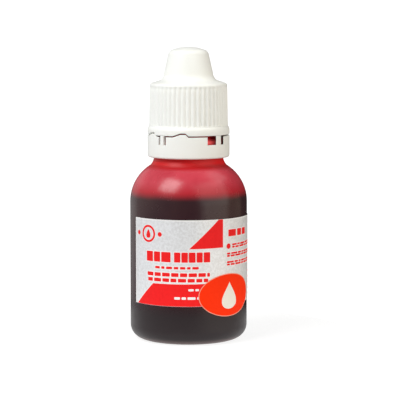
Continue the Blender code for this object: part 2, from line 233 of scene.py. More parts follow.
def turned(name, profile, material, turns=BODY_STEPS, shape=None, closed=False, sharp=40.0):
    """A mesh of revolution of a (radius, height) profile.

    turns is a number of even steps or a list of angles. shape(turn, radius, height) gives each point
    its place."""
    angles = [360.0 * step / turns for step in range(turns)] if isinstance(turns, int) else turns
    mesh = bmesh.new()
    rings = []
    for radius, height in profile:
        if radius < 0.001 * MM:
            rings.append([mesh.verts.new((0.0, 0.0, height))] * len(angles))
            continue
        ring = []
        for turn in angles:
            point = shape(turn, radius, height) if shape else (turn, radius, height)
            ring.append(mesh.verts.new(around(*point)))
        rings.append(ring)
    pairs = list(zip(rings, rings[1:]))
    if closed:
        pairs.append((rings[-1], rings[0]))
    for one, other in pairs:
        for step in range(len(angles)):
            after = (step + 1) % len(angles)
            corners = [one[step], one[after], other[after], other[step]]
            corners = list(dict.fromkeys(corners))
            if len(corners) > 2:
                mesh.faces.new(corners)
    return new_piece(name, mesh, material, sharp)


def helical_thread(name, radius, foot, material, hand=1.0):
    """A rounded ridge along a right-hand helix that thins out at both ends."""
    mesh = bmesh.new()
    per_turn = 72
    around_section = 10
    count = round(THREAD_TURNS * per_turn)
    rings = []
    for index in range(count + 1):
        turn = 360.0 * index / per_turn
        height = foot + THREAD_PITCH * index / per_turn
        ease = smoothstep(0, per_turn / 6, min(index, count - index))
        section = THREAD_SECTION * (0.25 + 0.75 * ease)
        ring = []
        for step in range(around_section):
            angle = math.tau * step / around_section
            out = radius + hand * section * math.cos(angle)
            ring.append(mesh.verts.new(around(turn + 90.0, out, height + section * math.sin(angle))))
        rings.append(ring)
    for one, other in zip(rings, rings[1:]):
        for step in range(around_section):
            after = (step + 1) % around_section
            mesh.faces.new((one[step], one[after], other[after], other[step]))
    mesh.faces.new(rings[0])
    mesh.faces.new(rings[-1])
    return new_piece(name, mesh, material, 60.0)


def node_maths(tree, operation, *values):
    """A Math node's output. A value is a plain number or another node's output."""
    made = tree.nodes.new("ShaderNodeMath")
    made.operation = operation
    made.inputs[1].default_value = 0.0
    for socket, value in zip(made.inputs, values):
        if isinstance(value, bpy.types.NodeSocket):
            tree.links.new(value, socket)
        else:
            socket.default_value = value
    return made.outputs[0]


class Paint:
    """One node material, built step by step on a Principled shader."""

    def __init__(self, name, roughness=0.4, **sockets):
        self.material = bpy.data.materials.new(name)
        self.material.use_nodes = True
        self.tree = self.material.node_tree
        self.shader = self.tree.nodes["Principled BSDF"]
        self.shader.inputs["Roughness"].default_value = roughness
        for socket, value in sockets.items():
            self.shader.inputs[socket.replace("_", " ")].default_value = value
        self.place = self.node("ShaderNodeTexCoord").outputs["Object"]
        self.bumped = None

    def node(self, kind, **settings):
        made = self.tree.nodes.new(kind)
        for setting, value in settings.items():
            setattr(made, setting, value)
        return made

    def feed(self, socket, value):
        """Links an output into a socket, or sets a plain value on it."""
        if isinstance(value, bpy.types.NodeSocket):
            self.tree.links.new(value, socket)
        else:
            socket.default_value = value

    def set(self, socket, value):
        self.feed(self.shader.inputs[socket], value)

    def noise(self, scale, detail=3.0, stretch=(1.0, 1.0, 1.0), rough=0.5):
        mapping = self.node("ShaderNodeMapping")
        self.feed(mapping.inputs["Vector"], self.place)
        mapping.inputs["Scale"].default_value = stretch
        made = self.node("ShaderNodeTexNoise")
        self.feed(made.inputs["Vector"], mapping.outputs["Vector"])
        made.inputs["Scale"].default_value = scale
        made.inputs["Detail"].default_value = detail
        made.inputs["Roughness"].default_value = rough
        return made.outputs["Fac"]

    def maths(self, operation, *values):
        return node_maths(self.tree, operation, *values)

    def spread(self, value, low, high, to_low=0.0, to_high=1.0, smooth=True):
        """The value's way from low to high, as a number from to_low to to_high."""
        kind = "SMOOTHSTEP" if smooth else "LINEAR"
        made = self.node("ShaderNodeMapRange", interpolation_type=kind)
        for socket, given in zip(made.inputs, (value, low, high, to_low, to_high)):
            self.feed(socket, given)
        return made.outputs["Result"]

    def mix(self, part, first, second):
        made = self.node("ShaderNodeMix", data_type="RGBA")
        self.feed(made.inputs["Factor"], part)
        for socket, colour in ((made.inputs[6], first), (made.inputs[7], second)):
            self.feed(socket, (*colour, 1.0) if isinstance(colour, tuple) else colour)
        return made.outputs[2]

    def along(self, axis):
        """The place along one axis of the part's frame."""
        made = self.node("ShaderNodeSeparateXYZ")
        self.feed(made.inputs[0], self.place)
        return made.outputs[axis]

    def bump(self, value, strength, distance):
        """Adds a bump on top of those already there."""
        made = self.node("ShaderNodeBump")
        made.inputs["Strength"].default_value = strength
        made.inputs["Distance"].default_value = distance
        self.feed(made.inputs["Height"], value)
        if self.bumped is not None:
            self.feed(made.inputs["Normal"], self.bumped)
        self.bumped = made.outputs["Normal"]
        self.set("Normal", self.bumped)


def paint_white_plastic():
    """Satin white polypropylene with a faint flow pattern and a fine moulded grain."""
    paint = Paint("white_plastic", Specular_IOR_Level=0.4, Subsurface_Weight=0.08)
    paint.set("Subsurface Radius", (1.0, 0.95, 0.85))
    paint.set("Subsurface Scale", 1.2 * MM)
    flow = paint.noise(90.0, 4.0, (1.0, 1.0, 0.35))
    grain = paint.noise(2600.0, 2.0)
    tone = paint.mix(paint.spread(flow, 0.3, 0.7), (0.865, 0.878, 0.835), (0.895, 0.905, 0.870))
    paint.set("Base Color", paint.mix(paint.spread(grain, 0.3, 0.7, 0.0, 0.3), tone, (0.85, 0.86, 0.82)))
    paint.set("Roughness", paint.spread(grain, 0.2, 0.8, 0.36, 0.48))
    paint.bump(grain, 0.12, 0.02 * MM)
    paint.bump(flow, 0.15, 0.05 * MM)
    return paint.material


def paint_wall():
    """Polyethylene coloured by what stands behind it: ink below the level, a red stain above it.

    The polyethylene bends light so that the ink fills the bottle's whole outline."""
    paint = Paint("stained_wall", 0.24, Specular_IOR_Level=WALL_GLOSS)
    height = paint.along("Z")
    ripple = paint.noise(70.0, 2.0)
    level = paint.maths("ADD", height, paint.spread(ripple, 0.2, 0.8, -0.25 * MM, 0.25 * MM, False))
    above = paint.spread(level, INK_LEVEL - 1.0 * MM, INK_LEVEL + 1.7 * MM)
    streaks = paint.noise(220.0, 4.0, (1.0, 1.0, 0.25))
    clouds = paint.noise(110.0, 3.0, (1.0, 1.0, 0.6))
    stain = paint.mix(paint.spread(clouds, 0.25, 0.75), (0.48, 0.032, 0.052), (0.60, 0.060, 0.086))
    stain = paint.mix(paint.spread(streaks, 0.5, 0.8, 0.0, 0.35), stain, (0.42, 0.020, 0.036))
    pool = paint.spread(height, INK_LEVEL + 0.8 * MM, INK_LEVEL + 4.2 * MM)
    stain = paint.mix(pool, (0.42, 0.012, 0.022), stain)
    neck = paint.spread(height, NECK_ROOT_TOP - 2.8 * MM, NECK_ROOT_TOP - 1.4 * MM)
    # Painted light and shade: the neck's deep red is painted brighter up under the band, where the band's
    # shadow falls, and darker lower down, where it faces the light.
    countershade_under_band = paint.spread(height, NECK_ROOT_TOP - 1.5 * MM, NECK_ROOT_TOP - 0.3 * MM)
    neck_red_countershaded = paint.mix(countershade_under_band, (0.44, 0.001, 0.003), (0.74, 0.001, 0.004))
    stain = paint.mix(neck, stain, neck_red_countershaded)
    # Painted light and shade: behind the band the neck is painted a bright red that stands in for light
    # coming through the translucent band, and a darker red at the bead's top, under the cap's foot, as
    # painted shade.
    behind_band = paint.spread(height, BAND_FOOT + 0.5 * MM, BEAD_BOTTOM)
    shade_under_cap = paint.spread(height, BEAD_TOP - 0.7 * MM, BEAD_TOP)
    stain = paint.mix(behind_band, stain, paint.mix(shade_under_cap, (1.0, 0.105, 0.115), (0.7, 0.006, 0.01)))
    clean = paint.spread(height, BEAD_TOP + 1.0 * MM, THREAD_FOOT + 4.5 * MM)
    stain = paint.mix(clean, stain, (0.80, 0.42, 0.42))
    mottle = paint.noise(45.0, 3.0)
    ink = paint.mix(paint.spread(mottle, 0.35, 0.7), (0.022, 0.002, 0.006), (0.040, 0.014, 0.014))
    # Painted shade: the ink is painted darker towards the bottom, below the label's foot.
    low = paint.spread(height, LABEL_FOOT - 4.0 * MM, LABEL_FOOT + 3.0 * MM)
    ink = paint.mix(low, (0.008, 0.0015, 0.003), ink)
    heel = paint.spread(height, 0.3 * MM, 1.9 * MM)
    ink = paint.mix(heel, (0.09, 0.052, 0.05), ink)
    paint.set("Base Color", paint.mix(above, ink, stain))
    peel = paint.noise(420.0, 2.0)
    satin = paint.spread(height, NECK_ROOT_TOP - 3.0 * MM, NECK_ROOT_TOP - 1.0 * MM, 0.0, 0.22)
    low_satin = paint.spread(height, LABEL_FOOT - 1.0 * MM, LABEL_FOOT - 4.0 * MM, 0.0, 0.14)
    satin = paint.maths("ADD", satin, low_satin)
    paint.set("Roughness", paint.maths("ADD", satin, paint.spread(peel, 0.25, 0.75, 0.23, 0.28)))
    paint.bump(peel, 0.05, 0.06 * MM)
    seam = paint.maths("ABSOLUTE", paint.along("Y"))
    paint.bump(paint.spread(seam, 0.0, 0.16 * MM, 1.0, 0.0), 0.5, 0.06 * MM)
    return paint.material


def paint_ink():
    """Dark liquid with a faint swirl and a wet surface."""
    paint = Paint("liquid_ink", 0.12, Specular_IOR_Level=0.4)
    swirl = paint.noise(160.0, 3.0)
    paint.set("Base Color", paint.mix(swirl, (0.010, 0.002, 0.005), (0.045, 0.004, 0.010)))
    paint.bump(swirl, 0.1, 0.05 * MM)
    return paint.material


def paint_natural_plastic():
    """Natural polyethylene of the nozzle: milky, waxy and a little cloudy."""
    paint = Paint("natural_plastic", Specular_IOR_Level=0.4, Subsurface_Weight=0.25)
    paint.set("Subsurface Radius", (1.0, 0.8, 0.75))
    paint.set("Subsurface Scale", 1.5 * MM)
    clouds = paint.noise(260.0, 3.0)
    paint.set("Base Color", paint.mix(clouds, (0.80, 0.79, 0.76), (0.88, 0.87, 0.85)))
    paint.set("Roughness", paint.spread(clouds, 0.3, 0.7, 0.32, 0.44))
    paint.bump(clouds, 0.1, 0.05 * MM)
    return paint.material


def paint_label_film():
    """Silver film with a fine mottled grain."""
    paint = Paint("silver_film", 0.42, Metallic=0.25)
    grain = paint.noise(1500.0, 3.0, rough=0.65)
    patches = paint.noise(150.0, 3.0)
    tone = paint.mix(paint.spread(grain, 0.35, 0.65), (0.70, 0.705, 0.715), (0.83, 0.845, 0.865))
    paint.set("Base Color", paint.mix(paint.spread(patches, 0.3, 0.7, 0.0, 0.3), tone, (0.80, 0.815, 0.83)))
    paint.set("Roughness", paint.spread(grain, 0.3, 0.7, 0.38, 0.52))
    paint.bump(grain, 0.15, 0.02 * MM)
    return paint.material


def paint_print(name, light, dark, speckle=0.5):
    """Printing ink on film, with the small unevenness of a printed solid."""
    paint = Paint(name, 0.42, Specular_IOR_Level=0.06)
    grain = paint.noise(1300.0, 3.0)
    patches = paint.noise(200.0, 2.0)
    tone = paint.mix(paint.spread(grain, 0.35, 0.75, 0.0, speckle), light, dark)
    paint.set("Base Color", paint.mix(paint.spread(patches, 0.3, 0.7, 0.0, 0.4), tone, light))
    paint.set("Roughness", paint.spread(grain, 0.3, 0.7, 0.38, 0.5))
    paint.bump(grain, 0.08, 0.01 * MM)
    return paint.material


def paint_floor():
    """A white sweep that a contact shadow only just marks."""
    paint = Paint("white_sweep", 0.9)
    tone = paint.noise(3.0, 2.0)
    paint.set("Base Color", paint.mix(tone, (0.22, 0.22, 0.22), (0.26, 0.26, 0.26)))
    paint.set("Emission Color", (*PLAIN_WHITE, 1.0))
    paint.set("Emission Strength", FLOOR_GLOW)
    return paint.material


def floor_profile(inset):
    """The pushed-up base, inset from its outside, from its centre out to the standing ring."""
    ring = BODY_RADIUS - HEEL_RADIUS - STANDING_RING
    steps = 8
    points = []
    for step in range(steps + 1):
        part = step / steps
        points.append((ring * part, PUSH_UP * (1 - part * part) + inset))
    return points


def bottle_profile():
    """The inner wall from the base's centre up to the lip, then the outer wall back down to it."""
    inner = SHOULDER_RADIUS - WALL
    neck_turn = math.degrees(math.acos((NECK_BORE - SHOULDER_CENTRE[0]) / inner))
    inside = floor_profile(WALL) + arc(HEEL_CENTRE, HEEL_RADIUS - WALL, -90.0, 0.0, 8)
    inside += arc(SHOULDER_CENTRE, inner, 0.0, neck_turn, 14)
    lip = 0.25 * MM
    ease = 0.35 * MM
    neck = [
        (NECK_BORE, NECK_TOP - 2 * lip),
        (NECK_BORE, NECK_TOP, lip),
        (NECK_RADIUS, NECK_TOP, lip),
        (NECK_RADIUS, BEAD_TOP + 0.2 * MM, ease),
        (BEAD_RADIUS, BEAD_TOP - 1.0 * MM, ease),
        (BEAD_RADIUS, BEAD_BOTTOM + 0.4 * MM, ease),
        (GROOVE_RADIUS, BEAD_BOTTOM, ease),
        (GROOVE_RADIUS, NECK_ROOT_TOP + 2.2 * MM, 1.0 * MM),
        (NECK_ROOT_RADIUS, NECK_ROOT_TOP - 0.4 * MM, 1.0 * MM),
    ]
    outside = arc(SHOULDER_CENTRE, SHOULDER_RADIUS, SHOULDER_TURN, 0.0, 22)
    outside += arc(HEEL_CENTRE, HEEL_RADIUS, 0.0, -90.0, 12)
    outside += reversed(floor_profile(0.0))
    return inside + rounded(neck + [outside[0]])[:-1] + outside


def make_bottle(material):
    wall = turned("bottle_wall", bottle_profile(), material, sharp=60.0)
    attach(wall, "bottle")
    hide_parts("bottle")
    thread = helical_thread("neck_thread", NECK_THREAD_RADIUS, THREAD_FOOT, material)
    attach(thread, "bottle")


def make_ink(material):
    """The fill, with a meniscus that climbs the wall."""
    inset = WALL + 0.05 * MM
    inner = SHOULDER_RADIUS - inset
    level_turn = math.degrees(math.asin((INK_LEVEL + 0.3 * MM - SHOULDER_BASE) / inner))
    rim = arc(SHOULDER_CENTRE, inner, level_turn, 0.0, 4)
    meniscus = []
    for back in (4.0, 2.5, 1.5, 0.8, 0.35):
        climb = 0.3 * MM * math.exp(-back / 0.9)
        meniscus.append((rim[0][0] - back * MM, INK_LEVEL + climb))
    profile = [(0.0, INK_LEVEL)] + meniscus + rim
    profile += arc(HEEL_CENTRE, HEEL_RADIUS - inset, 0.0, -90.0, 8)
    profile += reversed(floor_profile(inset))
    ink = turned("ink_fill", profile, material, 96, sharp=60.0)
    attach(ink, "bottle")
    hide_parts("ink")


def make_nozzle(material):
    """The plug, its flange on the lip, and the spout with its drip hole."""
    plug = NECK_BORE - 0.05 * MM
    waist = plug - 0.2 * MM
    bore = 6.3 * MM
    drip_hole = 0.95 * MM
    flange_foot = NECK_TOP + 0.02 * MM
    flange_top = NOZZLE_FOOT + 8.3 * MM
    ease = 0.3 * MM
    corners = [
        (drip_hole, NOZZLE_TIP, 0.0),
        (1.95 * MM, NOZZLE_TIP, 0.7 * MM),
        (2.3 * MM, NOZZLE_TIP - 3.1 * MM, 1.2 * MM),
        (3.9 * MM, NOZZLE_TIP - 6.4 * MM, 1.2 * MM),
        (4.6 * MM, NOZZLE_TIP - 7.7 * MM, 0.6 * MM),
        (5.1 * MM, flange_top, ease),
        (NOZZLE_FLANGE_RADIUS, flange_top, ease),
        (NOZZLE_FLANGE_RADIUS, flange_foot, 0.15 * MM),
        (plug, flange_foot, 0.1 * MM),
        (plug, NOZZLE_FOOT + 5.2 * MM, 0.2 * MM),
        (waist, NOZZLE_FOOT + 5.0 * MM, 0.1 * MM),
        (waist, NOZZLE_FOOT + 3.4 * MM, 0.1 * MM),
        (plug, NOZZLE_FOOT + 3.2 * MM, 0.2 * MM),
        (plug, NOZZLE_FOOT + 0.9 * MM, ease),
        (plug - 0.45 * MM, NOZZLE_FOOT, ease),
        (bore, NOZZLE_FOOT, ease),
        (bore, NOZZLE_FOOT + 5.6 * MM, 0.8 * MM),
        (3.3 * MM, NOZZLE_FOOT + 8.4 * MM, 0.6 * MM),
        (2.6 * MM, NOZZLE_FOOT + 10.4 * MM, 1.0 * MM),
        (1.4 * MM, NOZZLE_FOOT + 13.4 * MM, 0.6 * MM),
        (drip_hole, NOZZLE_TIP - 2.2 * MM, ease),
        (drip_hole, NOZZLE_TIP - 0.1 * MM, 0.0),
    ]
    nozzle = turned("dropper_plug", rounded(corners), material, 96, closed=True)
    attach(nozzle, "bottle")
    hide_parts("dropper_nozzle")


def tooth_rise(turn):
    """Height of the ratchet line above its low level: a long ramp, a flat top and a steep step down."""
    for start in TOOTH_STARTS:
        along = (turn - start) % 360.0
        if along < TOOTH_RAMP:
            return TOOTH_HEIGHT * along / TOOTH_RAMP
        if along <= TOOTH_RAMP + TOOTH_FLAT:
            return TOOTH_HEIGHT
        if along < TOOTH_RAMP + TOOTH_FLAT + TOOTH_STEP:
            return TOOTH_HEIGHT * (TOOTH_RAMP + TOOTH_FLAT + TOOTH_STEP - along) / TOOTH_STEP
    return 0.0


def rib_groove(turn):
    """How deep in a groove between two ribs an angle is, 0 on a crest and 1 in the middle of a groove."""
    phase = turn * RIB_COUNT / 360.0 % 1.0
    return smoothstep(0.12, 1.0, 1 - abs(2 * phase - 1))


def cap_profile():
    """The outside from the top of the dome down to the foot, then the inside back up."""
    dome = []
    steps = 8
    for step in range(steps + 1):
        angle = math.radians(DOME_TURN * step / steps)
        radius = DOME_RADIUS * math.sin(angle)
        dome.append((radius, CAP_TOP - DOME_RADIUS * (1 - math.cos(angle))))
    fillet = arc((TIP_FOOT_RADIUS + TIP_FILLET, TIP_FOOT), TIP_FILLET, 180.0, TIP_FILLET_END, 10)
    ease = 0.3 * MM
    tip = rounded([dome[-1], (TIP_RIM_RADIUS, TIP_RIM, 0.55 * MM), fillet[0]])[1:-1]
    shoulder = [
        fillet[-1],
        (SKIRT_TOP_RADIUS - 0.35 * MM, CAP_SHOULDER - 0.2 * MM, 0.5 * MM),
        (SKIRT_TOP_RADIUS, SKIRT_TOP - 0.2 * MM, 0.4 * MM),
        (SKIRT_TOP_RADIUS - 0.01 * MM, SKIRT_TOP - 1.2 * MM, 0.0),
    ]
    skirt = []
    rows = 10
    highest = SKIRT_TOP - 1.3 * MM
    for row in range(rows + 1):
        height = highest - (highest - FLANGE_TOP - ease) * row / rows
        part = (SKIRT_TOP - height) / (SKIRT_TOP - FLANGE_TOP)
        skirt.append((SKIRT_TOP_RADIUS + (SKIRT_FOOT_RADIUS - SKIRT_TOP_RADIUS) * part, height))
    flange = rounded(
        [
            skirt[-1],
            (SKIRT_FOOT_RADIUS, FLANGE_TOP, 0.15 * MM),
            (FLANGE_RADIUS, FLANGE_TOP - 2 * ease, 2 * ease),
            (FLANGE_RADIUS, CAP_FOOT, 0.15 * MM),
            (SKIRT_BORE + 0.3 * MM, CAP_FOOT, 0.15 * MM),
            (SKIRT_BORE, CAP_FOOT + ease, 0.15 * MM),
            (SKIRT_BORE, CAP_CEILING, ease),
            (SEAL_RING_RADIUS + 0.45 * MM, CAP_CEILING, 0.2 * MM),
            (SEAL_RING_RADIUS, SEAL_RING_FOOT, 0.15 * MM),
            (SEAL_RING_RADIUS - 0.45 * MM, CAP_CEILING, 0.2 * MM),
            (TIP_FOOT_RADIUS - CAP_WALL, CAP_CEILING + 1.2 * MM, 0.4 * MM),
            (TIP_RIM_RADIUS - CAP_WALL + 0.1 * MM, CAP_TOP - CAP_WALL, 0.4 * MM),
            (0.0, CAP_TOP - CAP_WALL),
        ]
    )
    return dome + tip + fillet[:-1] + rounded(shoulder) + skirt + flange[1:]


def make_cap(material):
    def shape(turn, radius, height):
        """Cuts the ribs into the skirt, and lifts the foot over the band's teeth."""
        outer = radius > SKIRT_BORE + 0.6 * MM
        if outer and FLANGE_TOP + 0.2 * MM < height < SKIRT_TOP + 0.1 * MM:
            fade = smoothstep(SKIRT_TOP - 0.1 * MM, SKIRT_TOP - RIB_FADE, height)
            return turn, radius - RIB_DEPTH * rib_groove(turn) * fade, height
        if radius > SKIRT_BORE - 0.05 * MM and height < FLANGE_TOP - 0.5 * MM:
            share = 1 - smoothstep(CAP_FOOT + 0.5 * MM, FLANGE_TOP - 0.5 * MM, height)
            return turn, radius, height + share * tooth_rise(turn)
        return turn, radius, height

    cap = turned("screw_cap", cap_profile(), material, CAP_STEPS, shape)
    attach(cap, "cap")
    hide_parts("cap")
    thread = helical_thread(
        "cap_thread", CAP_THREAD_RADIUS, THREAD_FOOT + THREAD_PITCH / 2, material, hand=-1.0
    )
    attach(thread, "cap")


def make_seal_pin(material):
    stem = 1.5 * MM
    pin = 0.55 * MM
    corners = [
        (0.0, PIN_HIGH.z),
        (stem, PIN_HIGH.z, 0.1 * MM),
        (stem, NOZZLE_TIP + 0.3 * MM, 0.2 * MM),
        (pin, NOZZLE_TIP + 0.3 * MM, 0.15 * MM),
        (pin, PIN_LOW.z + 0.3 * MM, 0.2 * MM),
        (pin - 0.3 * MM, PIN_LOW.z, 0.1 * MM),
        (0.0, PIN_LOW.z),
    ]
    seal = turned("seal_pin", rounded(corners), material, 48)
    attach(seal, "cap_carrier")
    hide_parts("cap_seal_pin")


def band_angles():
    """Even steps with two angles at each window's and bridge's edge, so that its sides stand upright."""
    sliver = 0.03
    angles = {round(360.0 * step / CAP_STEPS, 4) for step in range(CAP_STEPS)}
    for half_turn in (0.0, 180.0):
        for start, end in WINDOWS + SLOTS + BRIDGES:
            for edge in (start, end):
                angles.add(round((edge + half_turn - sliver) % 360.0, 4))
                angles.add(round((edge + half_turn + sliver) % 360.0, 4))
    return sorted(angles)


def within(turn, spans):
    """True if the angle is in one of the spans, or half a turn from it."""
    return any((turn - start) % 180.0 < end - start for start, end in spans)


def drawn_straight(turn, radius):
    """The angle at which a cut that runs straight back from the band's outside meets a smaller radius.

    The mould draws the windows' side of the front so. The slots on the other side are cut radially."""
    front = (turn + 90.0) % 180.0 - 90.0
    if front < 0.0:
        return turn
    cut = min(front, LAST_CUT)
    shift = math.degrees(math.asin(FLANGE_RADIUS * math.sin(math.radians(cut)) / radius)) - cut
    fade = (90.0 - front) / (90.0 - cut)
    return turn + shift * fade


def make_band(material):
    top = CAP_FOOT - PARTING_GAP
    window_foot = top - WINDOW_DEPTH
    lip_top = BEAD_BOTTOM - 0.3 * MM
    ease = 0.12 * MM
    corners = [
        (FLANGE_RADIUS - ease, top),
        (FLANGE_RADIUS, top - ease),
        (FLANGE_RADIUS, BAND_FOOT + 0.3 * MM, 0.25 * MM),
        (FLANGE_RADIUS - 0.3 * MM, BAND_FOOT, 0.2 * MM),
        (BAND_BORE, BAND_FOOT, 0.1 * MM),
        (SNAP_LIP_BORE, lip_top - 0.8 * MM, 0.15 * MM),
        (SNAP_LIP_BORE, lip_top - 0.2 * MM, 0.15 * MM),
        (BAND_BORE, lip_top + 0.2 * MM, 0.05 * MM),
        (BAND_BORE, window_foot - 0.2 * MM),
        (BAND_BORE, top - ease),
        (BAND_BORE + ease, top),
    ]

    def shape(turn, radius, height):
        """Raises the teeth and bridges, and sinks the windows and slots."""
        if height < window_foot - 0.21 * MM:
            return turn, radius, height
        place = drawn_straight(turn, radius)
        if height < top - 2 * ease:
            return place, radius, height
        if within(turn, WINDOWS + SLOTS):
            return place, radius, window_foot + height - top
        if within(turn, BRIDGES):
            return place, radius, height + tooth_rise(turn) + PARTING_GAP - BRIDGE_GAP
        return place, radius, height + tooth_rise(turn)

    band = turned("breakaway_band", rounded(corners), material, band_angles(), shape, closed=True)
    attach(band, "band")
    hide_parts("tamper_band")


def drape(height):
    """How far the sticker sinks towards the wall below the label's lower edge."""
    return DRAPE_DEPTH * smoothstep(LABEL_FOOT + DRAPE_ABOVE, LABEL_FOOT - DRAPE_BELOW, height)


def cut_square(mesh, axis, places):
    """Cuts the flat shapes square to an axis, at places along it."""
    for place in places:
        everything = mesh.verts[:] + mesh.edges[:] + mesh.faces[:]
        bmesh.ops.bisect_plane(mesh, geom=everything, dist=TOUCH, plane_co=axis * place, plane_no=axis)


def wrap_film(name, outlines, radius, thickness, material, draped=False):
    """Flat shapes of film, as outlines of (along, height) points, laid round the bottle at a radius.

    along is the distance round from the front. An outline may be a pair of loops that make a ring."""
    mesh = bmesh.new()
    for outline in outlines:
        if isinstance(outline[0][0], tuple):
            outer, inner = ([mesh.verts.new((x, 0.0, z)) for x, z in loop] for loop in outline)
            for step in range(len(outer)):
                after = (step + 1) % len(outer)
                mesh.faces.new((outer[step], outer[after], inner[after], inner[step]))
        else:
            mesh.faces.new([mesh.verts.new((x, 0.0, z)) for x, z in outline])
    bmesh.ops.triangulate(mesh, faces=mesh.faces)
    width = radius * math.radians(FILM_STEP)
    first = math.ceil(min(vertex.co.x for vertex in mesh.verts) / width)
    last = math.floor(max(vertex.co.x for vertex in mesh.verts) / width)
    cut_square(mesh, X_AXIS, [width * cut for cut in range(first, last + 1)])
    bmesh.ops.dissolve_limit(
        mesh, angle_limit=0.001, verts=mesh.verts, edges=[e for e in mesh.edges if not upright(e)]
    )
    if draped:
        steps = 5
        low = LABEL_FOOT - DRAPE_BELOW
        span = DRAPE_ABOVE + DRAPE_BELOW
        cut_square(mesh, Z_AXIS, [low + span * step / steps for step in range(steps + 1)])
    for face in mesh.faces:
        if face.normal.y > 0:
            face.normal_flip()
    sheet = bmesh.ops.extrude_face_region(mesh, geom=mesh.faces[:])
    backs = {item for item in sheet["geom"] if isinstance(item, bmesh.types.BMVert)}
    for vertex in mesh.verts:
        out = radius if vertex in backs else radius - thickness
        if draped:
            out -= drape(vertex.co.z)
        vertex.co = around(math.degrees(vertex.co.x / radius), out, vertex.co.z)
    return new_piece(name, mesh, material)


def upright(edge):
    one, other = edge.verts
    return abs(one.co.x - other.co.x) < TOUCH


def bar(left, right, low, high, ease=0.2):
    """The outline of a rounded bar, in mm."""
    ease = min(ease, (right - left) / 2.01, (high - low) / 2.01)
    points = []
    near, far, under, over = left + ease, right - ease, low + ease, high - ease
    for start, centre in enumerate(((far, over), (near, over), (near, under), (far, under))):
        points += arc(centre, ease, 90.0 * start, 90.0 * (start + 1), 4)
    return in_metres(points)


def in_metres(points):
    return [(x * MM, z * MM) for x, z in points]


def oval(centre, half_width, half_height, count=96):
    points = []
    for step in range(count):
        angle = math.tau * step / count
        points.append((centre[0] + half_width * math.cos(angle), centre[1] + half_height * math.sin(angle)))
    return points


def drop(centre, width, height, count=64):
    """A drop's outline, its point up."""
    points = []
    for step in range(count):
        angle = math.tau * (step + 0.5) / count
        across = 0.65 * width * math.sin(angle) * math.sin(angle / 2) ** 1.6
        points.append((centre[0] + across, centre[1] + height / 2 * math.cos(angle)))
    return points


def dashes(left, right, low, high, widths, gap=0.45):
    """Rounded bars of the given widths in turn along a row, as stand-ins for words."""
    bars = []
    at = left
    index = 0
    while at < right - 0.4:
        end = min(at + widths[index % len(widths)], right)
        bars.append((at, end, low, high))
        at = end + gap
        index += 1
    return bars


# The label's print, in mm: distance round from the front and height above the base
HEADLINE = [(-12.7, -10.45), (-10.1, -8.1), (-7.75, -4.95)]
HEADLINE += [(-3.95, -2.2), (-1.9, -0.1), (0.15, 2.0), (2.3, 4.0), (4.3, 6.15)]
WORDS = (2.0, 1.3, 2.7, 1.7, 1.1)
RED_SHAPES = {
    "corner": ((8.75, 35.2), (10.2, 35.2), (10.2, 27.4), (0.2, 27.25)),
    "band": ((-10.4, 17.45), (10.3, 17.6), (10.3, 11.3), (-16.7, 11.3)),
}


def red_bars():
    """Every printed bar, as (left, right, low, high) in mm."""
    bars = [(left, right, 23.55, 26.35) for left, right in HEADLINE]
    bars += dashes(-9.7, 3.3, 21.65, 22.35, (1.5, 1.0, 1.8, 1.3))
    bars += dashes(-12.4, 6.1, 19.55, 20.6, (2.1, 2.0, 2.3), 0.4)
    bars += dashes(-12.2, 5.6, 18.05, 19.05, (1.7, 2.3, 2.0), 0.4)
    bars += [(12.1, 15.2, 30.3, 32.2), (15.8, 17.9, 30.3, 32.2), (18.4, 20.6, 30.3, 32.2)]
    for row, (left, right) in enumerate(((13.6, 29.0), (11.6, 29.0), (11.6, 24.0))):
        middle = 27.6 - 2.4 * row
        bars += dashes(left, right, middle + 0.1, middle + 0.6, WORDS[row:] + WORDS[:row], 0.3)
        bars += dashes(left, right, middle - 0.6, middle - 0.1, WORDS[::-1], 0.3)
    for row in range(5):
        middle = 19.3 - 1.6 * row
        bars += dashes(24.0, 31.0, middle - 0.3, middle + 0.3, WORDS[row:] + WORDS[:row], 0.35)
    for row in range(9):
        middle = 30.3 - 1.8 * row
        right = 52.0 if row % 4 == 3 else 62.0
        bars += dashes(36.0, right, middle - 0.3, middle + 0.3, WORDS[row % 3:] + WORDS[:row % 3], 0.35)
    bars += [(36.0, 46.0, 32.0, 33.4)]
    return bars


def emblem(grow=0.0):
    """A drop in a ring between two dots, in mm: a plain mark of no maker."""
    centre = (-12.1, 31.15)
    outside = 2.4 + grow
    inside = 1.8 - grow
    ring = (oval(centre, outside, outside, 48), oval(centre, inside, inside, 48))
    shapes = [tuple(in_metres(loop) for loop in ring)]
    shapes.append(in_metres(drop((centre[0], centre[1] + 0.1), 1.8 + 2 * grow, 2.6 + 2 * grow, 32)))
    for aside in (-3.9, 3.9):
        shapes.append(in_metres(oval((centre[0] + aside, centre[1]), 0.65 + grow, 0.65 + grow, 24)))
    return shapes


def grown(points, margin):
    """A polygon with its sides moved out by a margin."""
    count = len(points)
    middle = Vector((sum(p[0] for p in points) / count, sum(p[1] for p in points) / count))
    moved = []
    for index in range(count):
        here = Vector(points[index])
        before = (here - Vector(points[index - 1])).normalized()
        after = (Vector(points[(index + 1) % count]) - here).normalized()
        one = Vector((before.y, -before.x))
        other = Vector((after.y, -after.x))
        if one.dot(here - middle) < 0:
            one, other = -one, -other
        reach = (one + other).normalized()
        moved.append(tuple(here + reach * margin / max(reach.dot(one), 0.35)))
    return moved


def clipped(points):
    """The points, kept on the label."""
    low, high = LABEL_FOOT / MM + 0.02, LABEL_TOP / MM - 0.02
    return [(x, min(max(z, low), high)) for x, z in points]


